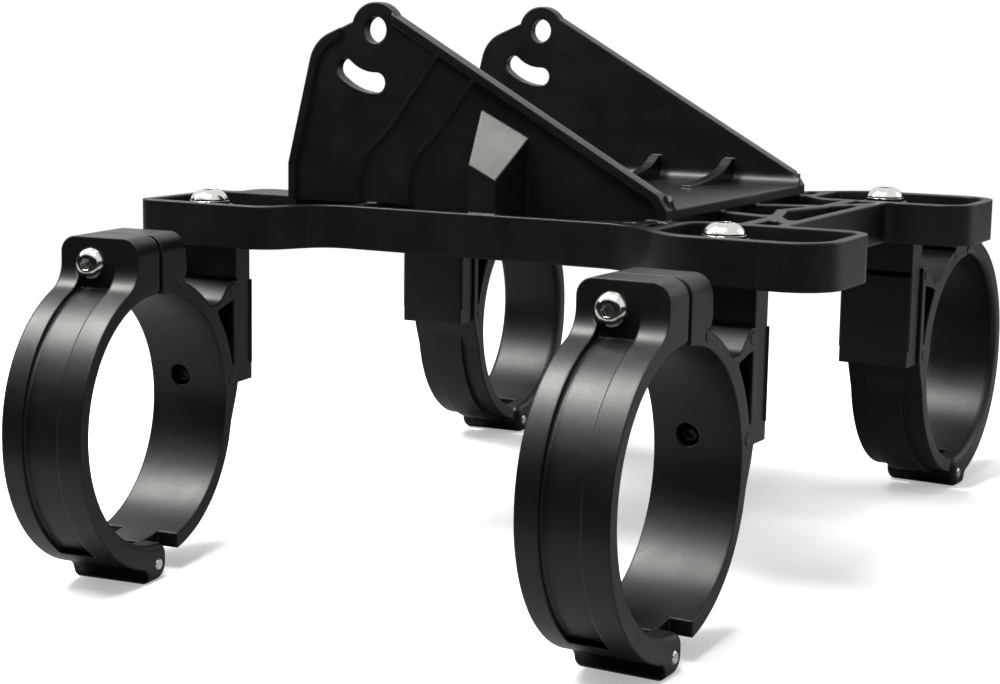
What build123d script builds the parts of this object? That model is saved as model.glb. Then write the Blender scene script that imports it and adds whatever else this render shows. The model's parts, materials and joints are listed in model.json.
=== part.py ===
from build123d import *
import math
import os

# Headlight mounting bracket that clamps around the two fork tubes of a motorbike.
# +X runs along the fork tubes, Y goes across the forks and +Z is up.
# The origin is the centre of the part's box in plan, at the height of the lowest hinge knuckle.
# The right fork tube is at -Y, the upper clamps are at -X, and the left side mirrors the right,
# except that each leg sits turned a little about its own pocket screw.

# Driving dimensions, in millimetres

FORK_SPACING = 200.0
CLAMP_PITCH = 140.0
BORE_RADIUS = 30.0
CLAMP_WIDTH = 21.0

# How far each leg sits turned about its pocket screw, in degrees, anticlockwise from above

RIGHT_UPPER_TURN = 6.0
RIGHT_LOWER_TURN = -1.5
LEFT_UPPER_TURN = 3.0
LEFT_LOWER_TURN = -3.5

# Ring clamp, with heights and distances counted from the fork tube's axis

CAP_WALL = 4.5
BASE_WALL = 3.5
MATING_GAP = 1.5
EAR_TOP = 44.0
CAP_EAR_DEPTH = 9.8
BASE_EAR_DEPTH = 10.6
EAR_CORNER_RADIUS = 4.0
CAP_EAR_FILLET = 7.0
RING_DROP = 1.5
BAND_WIDTH = 10.4
BAND_RELIEF = 1.2
GROOVE_WIDTH = 9.3
GROOVE_SHIFT = -0.5
GROOVE_FILLET = 0.7
GROOVE_END_DEPTH = 29.5

# Arm, flange and window that join the clamp base to its leg

FLANGE_THICKNESS = 2.3
LEG_FACE_REACH = 36.8
FLANGE_TOP = 29.6
FLANGE_BOTTOM = 4.1
WINDOW_WALL = 4.5
WINDOW_BOTTOM = 8.0
WINDOW_TOP = 24.8
WINDOW_SLOPE_DEGREES = 14.0
WINDOW_CORNER_RADIUS = 0.8
WEB_BULGE = 1.8
WEB_FILLET = 3.0
VALLEY_REACH = 27.2
VALLEY_HEIGHT = 24.4
VALLEY_FILLET = 4.0
ARM_TIP_REACH = 32.8
TOE_REACH = 32.6
TOE_DEPTH = 7.0
TOE_MID_REACH = 35.5
TOE_MID_HEIGHT = 0.0

# Hinge at the bottom of each clamp

PIN_RADIUS = 1.5
PIN_OFFSET = 2.2
PIN_DEPTH = 34.9
PIN_END_PROUD = 0.2
PIN_END_CHAMFER = 0.3
KNUCKLE_RADIUS = 4.0
KNUCKLE_CORNER_RADIUS = 3.0
FOOT_REACH = 4.6
FOOT_FILLET = 3.0
FOOT_CORNER_RADIUS = 1.8
LIP_OFFSET = 6.3
TONGUE_SIDE_CLEARANCE = 0.2
KNUCKLE_CLEARANCE = 0.35
PIN_PRESS_CLEARANCE = 0.01
PIN_RUNNING_CLEARANCE = 0.06
TONGUE_DROP = 0.5

# Clamp screw and its insert

CLAMP_SCREW_HEIGHT = 37.7
CLAMP_SCREW_SHIFT = -2.4
CLAMP_SCREW_LENGTH = 14.0
CLAMP_SCREW_THREAD_RADIUS = 1.775
CLAMP_SCREW_HEAD_RADIUS = 3.8
CLAMP_SCREW_HEAD_HEIGHT = 2.2
CLAMP_SCREW_SOCKET = 2.5
CLAMP_SCREW_SOCKET_DEPTH = 1.3
CLAMP_HOLE_RADIUS = 2.25
SPOTFACE_CLEARANCE = 0.35
CLAMP_INSERT_RADIUS = 2.8
CLAMP_INSERT_LENGTH = 6.0
CLAMP_INSERT_BORE_RADIUS = 2.1
CLAMP_INSERT_SINK = 0.2
INSERT_SEAT_CLEARANCE = 0.01

# Shares that shape every screw head and insert

CROWN_FLAT_SHARE = 0.42
CROWN_EDGE_SHARE = 0.16
CROWN_WIDTH_SHARE = 0.8
CROWN_HEIGHT_SHARE = 0.7
SCREW_TIP_SHARE = 0.72
INSERT_GROOVE_SHARE = 0.3
INSERT_GROOVE_WIDTH_SHARE = 0.2

# Leg and the bolt that holds the clamp base to it

LEG_WIDTH = 19.5
LEG_DEPTH = 7.1
LEG_BOTTOM = 2.9
PAD_WIDTH = 20.4
PAD_DEPTH = 1.2
PAD_TOP = 28.7
PAD_CHAMFER = 0.8
LEG_RELIEF_TOP = 7.3
LEG_CORNER_RADIUS = 1.0
LEG_BOLT_HEIGHT = 5.2
LEG_BOLT_SHIFT = -2.3
LEG_BOLT_THREAD_RADIUS = 1.35
LEG_BOLT_HEAD_RADIUS = 2.4
LEG_BOLT_HEAD_HEIGHT = 1.7
LEG_BOLT_SEAT_DEPTH = 4.4
LEG_BOLT_LENGTH = 10.0
LEG_BOLT_SOCKET = 2.0
LEG_BOLT_SOCKET_DEPTH = 1.0
LEG_BOLT_HOLE_RADIUS = 1.6
LEG_BOLT_RECESS_CLEARANCE = 0.3
LEG_INSERT_RADIUS = 1.9
LEG_INSERT_BORE_RADIUS = 1.5
LEG_INSERT_LENGTH = 6.0
LEG_INSERT_HOLE_SPARE = 0.3

# Frame walls and corner pockets, with heights counted from the fork tube's axis

FRAME_BOTTOM = 38.7
WALL_HEIGHT = 10.6
WALL = 2.4
RIB = 2.8
RIB_FILLET = 1.4
POCKET_FLOOR = 3.0
POCKET_OUTER_REACH = 27.8
POCKET_INNER_REACH = 62.0
POCKET_AHEAD = 28.5
UPPER_POCKET_BEHIND = 13.0
POCKET_CORNER_RADIUS = 11.0
POCKET_INNER_CORNER_RADIUS = 9.0
SIDE_WALL_REACH = 43.5
UPPER_BACK_CORNER_RADIUS = 3.5
UPPER_SWEEP_START = 25.5
UPPER_SWEEP_END = 33.5
UPPER_SWEEP_RADIUS = 10.0
LOWER_SWEEP_START = 25.0
LOWER_SWEEP_END = 9.3
LOWER_SWEEP_RADIUS = 17.0
LOWER_POCKET_BEHIND = 17.5
LOWER_CROSS_AHEAD = 6.8
UPPER_CROSS_AHEAD = 17.0
CROSS_CORNER_RADIUS = 3.0

# Deck lobe beside each upper pocket

DECK_BEHIND = 6.0
DECK_LOBE_REACH = 11.5
DECK_THICKNESS = 3.0
DECK_CORNER_SHARE = 0.43

# Boss, washer and screw in each pocket

POCKET_SCREW_INSET = 4.0
BOSS_RADIUS = 6.0
BOSS_HEIGHT = 6.05
WASHER_THICKNESS = 1.0
WASHER_RADIUS = 5.0
WASHER_HOLE_RADIUS = 2.7
POCKET_SCREW_LENGTH = 16.0
POCKET_SCREW_THREAD_RADIUS = 2.35
POCKET_SCREW_HEAD_RADIUS = 4.75
POCKET_SCREW_HEAD_HEIGHT = 2.75
POCKET_SCREW_SOCKET = 3.0
POCKET_SCREW_SOCKET_DEPTH = 1.6
POCKET_SCREW_HOLE_RADIUS = 2.75
LEG_TAPPING_CLEARANCE = 0.01
LEG_HOLE_SPARE = 1.0

# Fins, with positions counted from the lower clamps' centre and from the fork axis height

FIN_FACE_OFFSET = 43.8
FIN_THICKNESS = 1.6
FIN_STEP = 0.7
FIN_STEP_CHAMFER = 0.6
FIN_BASE_BACK = 124.0
FIN_SIDE_BACK = 123.9
FIN_SIDE_HEIGHT = 58.4
FIN_SHOULDER_BACK = 116.2
FIN_SHOULDER_HEIGHT = 89.4
FIN_SHOULDER_RADIUS = 9.6
FIN_CREST_BACK = 104.0
FIN_CREST_HEIGHT = 94.6
FIN_TOE_BACK = 21.5
FIN_TOE_HEIGHT = 55.7
FIN_SLOPE_DEGREES = 29.4
FLANGE_DEPTH = 3.6
FLANGE_RIM = 2.2
FLANGE_START_BACK = 93.5
SIDE_RIM_END_BACK = 108.5
SIDE_RIM_END_HEIGHT = 80.0
LUG_HOLE_RADIUS = 3.25
LUG_RADIUS = 6.8
LUG_BACK = 98.5
LUG_HEIGHT = 92.3
SLOT_ARC_RADIUS = 13.0
SLOT_START_DEGREES = 228.0
SLOT_SWEEP_DEGREES = 44.0
SLOT_WIDTH = 5.0

# Each ridge line as distance behind and height, and how far the second lies ahead of the first

RIDGE_LINE = [(102.6, 52.0), (102.3, 56.9), (100.6, 62.0), (93.7, 69.2), (81.7, 85.3), (66.0, 106.0)]
RIDGE_SPACING = 14.0

# Post outside each fin

POST_BACK = 69.2
POST_FRONT = 55.8
POST_TIP_BACK = 67.2
POST_TIP_FRONT = 60.0
POST_TOP_BACK = 74.6
POST_TOP_FRONT = 68.0
POST_TIP_DROP = 12.7
POST_TIP_OFFSET = 54.8

# Floor between the fins, and the ribs that stand on it

FLOOR_THICKNESS = 2.7
FLOOR_FRONT_BACK = 19.0
FLOOR_CORNER_FILLET = 3.2
GUSSET_THICKNESS = 3.0
GUSSET_BACKS = [61.3, 39.6]
GUSSET_CURVE = [
    (0.0, 6.4),
    (1.6, 6.4),
    (2.8, 5.7),
    (5.0, 4.5),
    (8.0, 3.4),
    (13.0, 2.4),
    (20.0, 1.6),
    (30.0, 0.9),
]
EJECTOR_MARK_RADIUS = 1.4
EJECTOR_MARK_DEPTH = 0.3
EJECTOR_MARK_BACK = 37.0
EJECTOR_MARK_OFFSET = 8.0

# Truss between the floor and the lower cross wall, and the ribs below the floor

TRUSS_KNOT_BACK = 3.0
TRUSS_KNOT_OFFSET = 18.0
TRUSS_WAIST_BACK = 8.0
TRUSS_FLOOR_BACK = 22.0
TRUSS_FLOOR_OFFSET = 11.0
TRUSS_WALL_OFFSET = 31.0
TRUSS_POCKET_OFFSET = 39.0
BRACE_BACK = 37.0
BRACE_REACH = 54.0
FLOOR_RIB_BACKS = [101.0, 62.0, 24.0]


# Places worked out from the driving dimensions

AXIS_HEIGHT = PIN_DEPTH + KNUCKLE_RADIUS
LOWER_X = (CLAMP_PITCH + UPPER_POCKET_BEHIND - POCKET_AHEAD) / 2
UPPER_X = LOWER_X - CLAMP_PITCH
FORK_Y = FORK_SPACING / 2
CAP_RADIUS = BORE_RADIUS + CAP_WALL
BASE_RADIUS = BORE_RADIUS + BASE_WALL
LEG_BOLT_SEAT_REACH = LEG_FACE_REACH - LEG_BOLT_SEAT_DEPTH
POCKET_SCREW_REACH = LEG_FACE_REACH + POCKET_SCREW_INSET
DECK_INNER_REACH = POCKET_INNER_REACH + DECK_LOBE_REACH
DECK_CORNER_RADIUS = DECK_LOBE_REACH * DECK_CORNER_SHARE
HALF_BAND = BAND_WIDTH / 2
HALF_GAP = MATING_GAP / 2
FRAME_TOP = FRAME_BOTTOM + WALL_HEIGHT
FLOOR_TOP = FRAME_TOP + FLOOR_THICKNESS
BOSS_TOP = FRAME_BOTTOM + POCKET_FLOOR + BOSS_HEIGHT
POCKET_SCREW_SEAT = BOSS_TOP + WASHER_THICKNESS
BIG = 2 * (BORE_RADIUS + CLAMP_WIDTH)

# Each corner's side, end, place along X and turn

CORNERS = [
    ("right", "upper", UPPER_X, RIGHT_UPPER_TURN),
    ("right", "lower", LOWER_X, RIGHT_LOWER_TURN),
    ("left", "upper", UPPER_X, LEFT_UPPER_TURN),
    ("left", "lower", LOWER_X, LEFT_LOWER_TURN),
]


def sheet(*points):
    """A flat face with the given corners."""
    return Polygon(*points, align=None)


def box(x_range, y_range, z_range):
    """A block between two limits along each axis."""
    size = [high - low for low, high in (x_range, y_range, z_range)]
    low_corner = Pos(x_range[0], y_range[0], z_range[0])
    return low_corner * Box(*size, align=(Align.MIN, Align.MIN, Align.MIN))


def raised(face, height):
    """A face drawn in X and Y, thickened upwards."""
    return extrude(face, height, dir=(0, 0, 1))


def across(face, width):
    """A face drawn in Y and Z, thickened evenly along X about the clamp's middle."""
    return extrude(Plane.YZ * face, width / 2, both=True)


def rod_along_y(radius, start, end, height):
    """A round bar along Y, at a height above the fork axis."""
    turned = Pos(0, start, height) * Rot(-90, 0, 0)
    return turned * Cylinder(radius, end - start, align=(Align.CENTER, Align.CENTER, Align.MIN))


def softened(face, radius):
    """A flat face with its hollow corners rounded."""
    return offset(offset(face, radius), -radius)


def button_screw(head_radius, head_height, thread_radius, length, socket, socket_depth):
    """A round-headed screw that points down, with the underside of its head at the origin."""
    flat_radius = head_radius * CROWN_FLAT_SHARE
    edge_height = head_height * CROWN_EDGE_SHARE
    crown = (head_radius * CROWN_WIDTH_SHARE, head_height * CROWN_HEIGHT_SHARE)
    tip_radius = thread_radius * SCREW_TIP_SHARE
    outline = Polyline(
        (flat_radius, head_height),
        (0, head_height),
        (0, -length),
        (tip_radius, -length),
        (thread_radius, -length + thread_radius - tip_radius),
        (thread_radius, 0),
        (head_radius, 0),
        (head_radius, edge_height),
    )
    dome = ThreePointArc((head_radius, edge_height), crown, (flat_radius, head_height))
    profile = make_face(outline.edges() + dome.edges())
    screw = revolve(Plane.XZ * profile, Axis.Z)
    key = extrude(RegularPolygon(socket / 2, 6, major_radius=False), -socket_depth)
    return screw - Pos(0, 0, head_height) * key


def ring_insert(outer_radius, bore_radius, length):
    """A threaded insert that runs up from the origin, with a groove around its middle."""
    body = Cylinder(outer_radius, length, align=(Align.CENTER, Align.CENTER, Align.MIN))
    bore = Cylinder(bore_radius, length, align=(Align.CENTER, Align.CENTER, Align.MIN))
    groove_radius = outer_radius - (outer_radius - bore_radius) * INSERT_GROOVE_SHARE
    groove_width = length * INSERT_GROOVE_WIDTH_SHARE
    collar = Cylinder(outer_radius, groove_width) - Cylinder(groove_radius, groove_width)
    return body - bore - Pos(0, 0, length / 2) * collar


# Clamp, drawn around the fork axis with +Y towards the leg


def corner_fill(wall, radius, centre_height, upwards):
    """What rounds the hollow corner between the cap's ring and an upright face behind the axis."""
    reach = CAP_RADIUS + radius
    y = -wall - radius
    rise = upwards * math.sqrt(reach**2 - y**2)
    share = CAP_RADIUS / reach
    touch = (y * share, centre_height + rise * share)
    middle = (y, centre_height + rise)
    fill = sheet((-wall, middle[1]), middle, touch, (-wall, touch[1]))
    return fill - Pos(*middle) * Circle(radius)


def cap_outline():
    """Side profile of the cap: ring, ear at the top and knuckle at the bottom."""
    ear = sheet((-CAP_EAR_DEPTH, 0), (-CAP_EAR_DEPTH, EAR_TOP), (0, EAR_TOP), (0, 0))
    face = Circle(CAP_RADIUS) + Pos(0, -RING_DROP) * Circle(CAP_RADIUS)
    face += ear + corner_fill(CAP_EAR_DEPTH, CAP_EAR_FILLET, 0, 1)
    bottom = -PIN_DEPTH - KNUCKLE_RADIUS
    foot_end = -PIN_OFFSET - FOOT_REACH
    foot = sheet(
        (-PIN_OFFSET, bottom),
        (foot_end, bottom),
        (foot_end, -BORE_RADIUS),
        (-PIN_OFFSET, -BORE_RADIUS),
    )
    face += foot + corner_fill(-foot_end, FOOT_FILLET, -RING_DROP, -1)
    knuckle_end = KNUCKLE_RADIUS - PIN_OFFSET
    knuckle = Pos(-PIN_OFFSET, -PIN_DEPTH) * Circle(KNUCKLE_RADIUS)
    neck = sheet(
        (-PIN_OFFSET, -PIN_DEPTH),
        (knuckle_end, -PIN_DEPTH),
        (knuckle_end, -BORE_RADIUS + KNUCKLE_RADIUS),
        (-PIN_OFFSET, -BORE_RADIUS + KNUCKLE_RADIUS),
    )
    outside = sheet(
        (-BIG, BIG),
        (-HALF_GAP, BIG),
        (-HALF_GAP, 0),
        (-PIN_OFFSET, 0),
        (-PIN_OFFSET, -BIG),
        (-BIG, -BIG),
    )
    face = (face & outside) + knuckle + neck
    face = face - Circle(BORE_RADIUS)
    inner_end = face.vertices().sort_by_distance((knuckle_end, -BORE_RADIUS))[0]
    return fillet(inner_end, KNUCKLE_CORNER_RADIUS)


def tongue_space(clearance):
    """What the cap leaves clear for the base's tongue and its swing."""
    reach = -PIN_OFFSET - KNUCKLE_RADIUS - clearance
    return box(
        (-HALF_BAND, HALF_BAND),
        (reach, BIG),
        (-PIN_DEPTH - 2 * KNUCKLE_RADIUS, -BORE_RADIUS + KNUCKLE_RADIUS),
    )


def groove_cutter():
    """What the sunk band in the middle of the cap's outside takes away."""
    floor_radius = CAP_RADIUS - BAND_RELIEF
    stretch = sheet(
        (-BIG, -GROOVE_END_DEPTH),
        (-BIG, BIG),
        (-CAP_EAR_DEPTH, BIG),
        (-CAP_EAR_DEPTH, -GROOVE_END_DEPTH),
    )
    band = stretch - Circle(floor_radius) - Pos(0, -RING_DROP) * Circle(floor_radius)
    cutter = across(band, GROOVE_WIDTH)
    floor_edges = cutter.edges().filter_by(GeomType.CIRCLE)
    return Pos(GROOVE_SHIFT, 0, 0) * fillet(floor_edges, GROOVE_FILLET)


def clamp_cap():
    """Outer ring half with its ear, its sunk middle band and its two knuckles."""
    cap = across(cap_outline(), CLAMP_WIDTH)
    corners = cap.edges().filter_by(Axis.Y).group_by(Axis.Z)[-1]
    cap = fillet(corners, EAR_CORNER_RADIUS)
    foot_ends = cap.edges().filter_by(Axis.Y).group_by(Axis.Z)[0]
    cap = fillet(foot_ends, FOOT_CORNER_RADIUS)
    cap -= groove_cutter()
    cap -= tongue_space(KNUCKLE_CLEARANCE)
    screw_place = Pos(CLAMP_SCREW_SHIFT, 0, 0)
    cap -= screw_place * rod_along_y(CLAMP_HOLE_RADIUS, -BIG, 0, CLAMP_SCREW_HEIGHT)
    spotface_radius = CLAMP_SCREW_HEAD_RADIUS + SPOTFACE_CLEARANCE
    cap -= screw_place * rod_along_y(spotface_radius, -BIG, -CAP_EAR_DEPTH, CLAMP_SCREW_HEIGHT)
    pin_hole = Cylinder(PIN_RADIUS + PIN_RUNNING_CLEARANCE, CLAMP_WIDTH, rotation=(0, 90, 0))
    return cap - Pos(0, -PIN_OFFSET, -PIN_DEPTH) * pin_hole


def base_outline():
    """Side profile of the base: ring, ear, arm, flange and the window between them."""
    ear = sheet(
        (0, 0),
        (0, EAR_TOP),
        (BASE_EAR_DEPTH, EAR_TOP),
        (BASE_EAR_DEPTH + WEB_BULGE, BORE_RADIUS),
        (BASE_EAR_DEPTH + WEB_BULGE, 0),
    )
    arm = sheet(
        (VALLEY_REACH - VALLEY_HEIGHT / 2, VALLEY_HEIGHT),
        (VALLEY_REACH, VALLEY_HEIGHT),
        (ARM_TIP_REACH, FLANGE_TOP),
        (LEG_FACE_REACH, FLANGE_TOP),
        (LEG_FACE_REACH, FLANGE_BOTTOM),
        (TOE_MID_REACH, TOE_MID_HEIGHT),
        (TOE_REACH, -TOE_DEPTH),
        (0, -TOE_DEPTH),
    )
    face = Circle(BASE_RADIUS) + ear + arm
    web_corner = face.vertices().sort_by_distance((BASE_EAR_DEPTH + WEB_BULGE, BASE_RADIUS - WEB_BULGE))[0]
    face = fillet(web_corner, WEB_FILLET)
    valley = face.vertices().sort_by_distance((VALLEY_REACH, VALLEY_HEIGHT))[0]
    face = fillet(valley, VALLEY_FILLET)
    inner_face = LEG_FACE_REACH - FLANGE_THICKNESS
    top_drop = inner_face * math.tan(math.radians(WINDOW_SLOPE_DEGREES))
    window = sheet(
        (0, WINDOW_TOP - top_drop),
        (inner_face, WINDOW_TOP),
        (inner_face, WINDOW_BOTTOM),
        (0, WINDOW_BOTTOM),
    )
    window -= Circle(BORE_RADIUS + WINDOW_WALL)
    window = fillet(window.vertices().sort_by(Axis.Y)[-2:], WINDOW_CORNER_RADIUS)
    inside = sheet(
        (HALF_GAP, BIG),
        (BIG, BIG),
        (BIG, -BIG),
        (LIP_OFFSET, -BIG),
        (LIP_OFFSET, 0),
        (HALF_GAP, 0),
    )
    return (face & inside) - Circle(BORE_RADIUS) - window


def tongue_outline():
    """Middle knuckle of the hinge and the bar that joins it to the ring."""
    knuckle = Pos(-PIN_OFFSET, -PIN_DEPTH) * Circle(KNUCKLE_RADIUS)
    bar = sheet(
        (-PIN_OFFSET, -PIN_DEPTH - TONGUE_DROP),
        (LIP_OFFSET + KNUCKLE_RADIUS, -PIN_DEPTH - TONGUE_DROP),
        (LIP_OFFSET + KNUCKLE_RADIUS, 0),
        (-PIN_OFFSET, 0),
    )
    ring = Circle(BASE_RADIUS + BAND_RELIEF) & bar
    return (knuckle + ring) - Circle(BORE_RADIUS)


def band_outline():
    """Raised middle band on the outside of the base's ring, below the flange."""
    ring = Circle(BASE_RADIUS + BAND_RELIEF) - Circle(BORE_RADIUS)
    return ring & sheet((LIP_OFFSET, 0), (BIG, 0), (BIG, -BIG), (LIP_OFFSET, -BIG))


def clamp_base():
    """Inner ring half with its ear, arm, flange and middle knuckle."""
    base = across(base_outline(), CLAMP_WIDTH)
    corners = base.edges().filter_by(Axis.Y).group_by(Axis.Z)[-1]
    base = fillet(corners, EAR_CORNER_RADIUS)
    tongue_width = BAND_WIDTH - 2 * TONGUE_SIDE_CLEARANCE
    base += across(band_outline(), tongue_width)
    base += across(tongue_outline(), tongue_width)
    insert_end = HALF_GAP + CLAMP_INSERT_SINK + CLAMP_INSERT_LENGTH
    seat_radius = CLAMP_INSERT_RADIUS + INSERT_SEAT_CLEARANCE
    base -= Pos(CLAMP_SCREW_SHIFT, 0, 0) * rod_along_y(seat_radius, 0, insert_end, CLAMP_SCREW_HEIGHT)
    bolt_place = Pos(LEG_BOLT_SHIFT, 0, 0)
    recess_radius = LEG_BOLT_HEAD_RADIUS + LEG_BOLT_RECESS_CLEARANCE
    base -= bolt_place * rod_along_y(recess_radius, BORE_RADIUS / 2, LEG_BOLT_SEAT_REACH, LEG_BOLT_HEIGHT)
    base -= bolt_place * rod_along_y(LEG_BOLT_HOLE_RADIUS, BORE_RADIUS / 2, LEG_FACE_REACH, LEG_BOLT_HEIGHT)
    pin_hole = Cylinder(PIN_RADIUS + PIN_PRESS_CLEARANCE, CLAMP_WIDTH, rotation=(0, 90, 0))
    return base - Pos(0, -PIN_OFFSET, -PIN_DEPTH) * pin_hole


def hinge_pin():
    """Plain pin through the three knuckles, with bevelled ends."""
    pin = Cylinder(PIN_RADIUS, CLAMP_WIDTH + 2 * PIN_END_PROUD)
    pin = chamfer(pin.edges().filter_by(GeomType.CIRCLE), PIN_END_CHAMFER)
    return Pos(0, -PIN_OFFSET, -PIN_DEPTH) * Rot(0, 90, 0) * pin


def clamp_screw():
    """Button head on the cap's ear, with its thread in the base's insert."""
    screw = button_screw(
        CLAMP_SCREW_HEAD_RADIUS,
        CLAMP_SCREW_HEAD_HEIGHT,
        CLAMP_SCREW_THREAD_RADIUS,
        CLAMP_SCREW_LENGTH,
        CLAMP_SCREW_SOCKET,
        CLAMP_SCREW_SOCKET_DEPTH,
    )
    return Pos(CLAMP_SCREW_SHIFT, -CAP_EAR_DEPTH, CLAMP_SCREW_HEIGHT) * Rot(90, 0, 0) * screw


def clamp_insert():
    """Threaded insert in the base's ear, just below its mating face."""
    insert = ring_insert(CLAMP_INSERT_RADIUS, CLAMP_INSERT_BORE_RADIUS, CLAMP_INSERT_LENGTH)
    place = Pos(CLAMP_SCREW_SHIFT, HALF_GAP + CLAMP_INSERT_SINK, CLAMP_SCREW_HEIGHT)
    return place * Rot(-90, 0, 0) * insert


# Leg between the clamp base and the frame


def leg():
    """Upright block with a wider pad on its inboard side."""
    half = LEG_WIDTH / 2
    inboard = LEG_FACE_REACH + LEG_DEPTH
    block = box((-half, half), (LEG_FACE_REACH, inboard), (LEG_BOTTOM, FRAME_BOTTOM))
    pad = box((-PAD_WIDTH / 2, PAD_WIDTH / 2), (inboard, inboard + PAD_DEPTH), (LEG_BOTTOM, PAD_TOP))
    pad_top = pad.edges().filter_by(Axis.X).group_by(Axis.Z)[-1].sort_by(Axis.Y)[-1]
    pad = chamfer(pad_top, PAD_CHAMFER)
    pad_sides = pad.edges().filter_by(Axis.Z).group_by(Axis.Y)[-1]
    pad = fillet(pad_sides, LEG_CORNER_RADIUS)
    body = block + pad
    for side in (-1, 1):
        outer = side * PAD_WIDTH / 2
        inner = side * half
        low, high = sorted((outer, inner))
        body -= box((low, high), (LEG_FACE_REACH, inboard + PAD_DEPTH), (LEG_BOTTOM, LEG_RELIEF_TOP))
    insert_end = LEG_FACE_REACH + LEG_INSERT_LENGTH
    seat_radius = LEG_INSERT_RADIUS + INSERT_SEAT_CLEARANCE
    seat = rod_along_y(seat_radius, LEG_FACE_REACH, insert_end + LEG_INSERT_HOLE_SPARE, LEG_BOLT_HEIGHT)
    body -= Pos(LEG_BOLT_SHIFT, 0, 0) * seat
    hole_depth = POCKET_SCREW_LENGTH - (POCKET_SCREW_SEAT - FRAME_BOTTOM) + LEG_HOLE_SPARE
    hole = Cylinder(
        POCKET_SCREW_THREAD_RADIUS + LEG_TAPPING_CLEARANCE,
        hole_depth,
        align=(Align.CENTER, Align.CENTER, Align.MAX),
    )
    return body - Pos(0, POCKET_SCREW_REACH, FRAME_BOTTOM) * hole


def leg_bolt():
    """Bolt with its head sunk below the bore's wall, screwed into the leg's insert."""
    bolt = button_screw(
        LEG_BOLT_HEAD_RADIUS,
        LEG_BOLT_HEAD_HEIGHT,
        LEG_BOLT_THREAD_RADIUS,
        LEG_BOLT_LENGTH,
        LEG_BOLT_SOCKET,
        LEG_BOLT_SOCKET_DEPTH,
    )
    return Pos(LEG_BOLT_SHIFT, LEG_BOLT_SEAT_REACH, LEG_BOLT_HEIGHT) * Rot(90, 0, 0) * bolt


def leg_insert():
    """Threaded insert in the leg's outboard face."""
    insert = ring_insert(LEG_INSERT_RADIUS, LEG_INSERT_BORE_RADIUS, LEG_INSERT_LENGTH)
    return Pos(LEG_BOLT_SHIFT, LEG_FACE_REACH, LEG_BOLT_HEIGHT) * Rot(-90, 0, 0) * insert


def pocket_screw():
    """Button head screw that holds the frame down on the leg."""
    screw = button_screw(
        POCKET_SCREW_HEAD_RADIUS,
        POCKET_SCREW_HEAD_HEIGHT,
        POCKET_SCREW_THREAD_RADIUS,
        POCKET_SCREW_LENGTH,
        POCKET_SCREW_SOCKET,
        POCKET_SCREW_SOCKET_DEPTH,
    )
    return Pos(0, POCKET_SCREW_REACH, POCKET_SCREW_SEAT) * screw


def pocket_washer():
    """Flat washer between the pocket's boss and the screw head."""
    disc = Cylinder(WASHER_RADIUS, WASHER_THICKNESS, align=(Align.CENTER, Align.CENTER, Align.MIN))
    hole = Cylinder(WASHER_HOLE_RADIUS, WASHER_THICKNESS, align=(Align.CENTER, Align.CENTER, Align.MIN))
    return Pos(0, POCKET_SCREW_REACH, BOSS_TOP) * (disc - hole)


# Frame, drawn for the right side only with X from the part's origin and Y from the fork axis


def right_plan():
    """Outer outline of the frame's right half, from its middle line to the right pockets."""
    upper_back = UPPER_X - UPPER_POCKET_BEHIND
    lower_front = LOWER_X + POCKET_AHEAD
    deck_back = UPPER_X - DECK_BEHIND
    upper_cross = UPPER_X + UPPER_CROSS_AHEAD
    lower_cross = LOWER_X + LOWER_CROSS_AHEAD
    rounded = [
        ((upper_cross, DECK_INNER_REACH), CROSS_CORNER_RADIUS),
        ((deck_back, DECK_INNER_REACH), DECK_CORNER_RADIUS),
        ((deck_back, POCKET_INNER_REACH), CROSS_CORNER_RADIUS),
        ((upper_back, POCKET_INNER_REACH), CROSS_CORNER_RADIUS),
        ((upper_back, POCKET_OUTER_REACH), UPPER_BACK_CORNER_RADIUS),
        ((UPPER_X + UPPER_SWEEP_START, POCKET_OUTER_REACH), UPPER_SWEEP_RADIUS),
        ((UPPER_X + UPPER_SWEEP_END, SIDE_WALL_REACH), UPPER_SWEEP_RADIUS),
        ((LOWER_X - LOWER_SWEEP_START, SIDE_WALL_REACH), LOWER_SWEEP_RADIUS),
        ((LOWER_X - LOWER_SWEEP_END, POCKET_OUTER_REACH), LOWER_SWEEP_RADIUS),
        ((lower_front, POCKET_OUTER_REACH), POCKET_CORNER_RADIUS),
        ((lower_front, POCKET_INNER_REACH), POCKET_INNER_CORNER_RADIUS),
        ((lower_cross, POCKET_INNER_REACH), CROSS_CORNER_RADIUS),
    ]
    corners = [point for point, radius in rounded]
    plan = sheet((upper_cross, FORK_Y), *corners, (lower_cross, FORK_Y))
    for point, radius in rounded:
        vertex = plan.vertices().sort_by_distance(point)[0]
        plan = fillet(vertex, radius)
    return plan


def rib_between(start, end, thickness):
    """A straight rib in plan between two points, with round ends."""
    length = math.dist(start, end)
    angle = math.degrees(math.atan2(end[1] - start[1], end[0] - start[0]))
    middle = ((start[0] + end[0]) / 2, (start[1] + end[1]) / 2)
    return Pos(*middle) * Rot(0, 0, angle) * SlotOverall(length + thickness, thickness)


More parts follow.
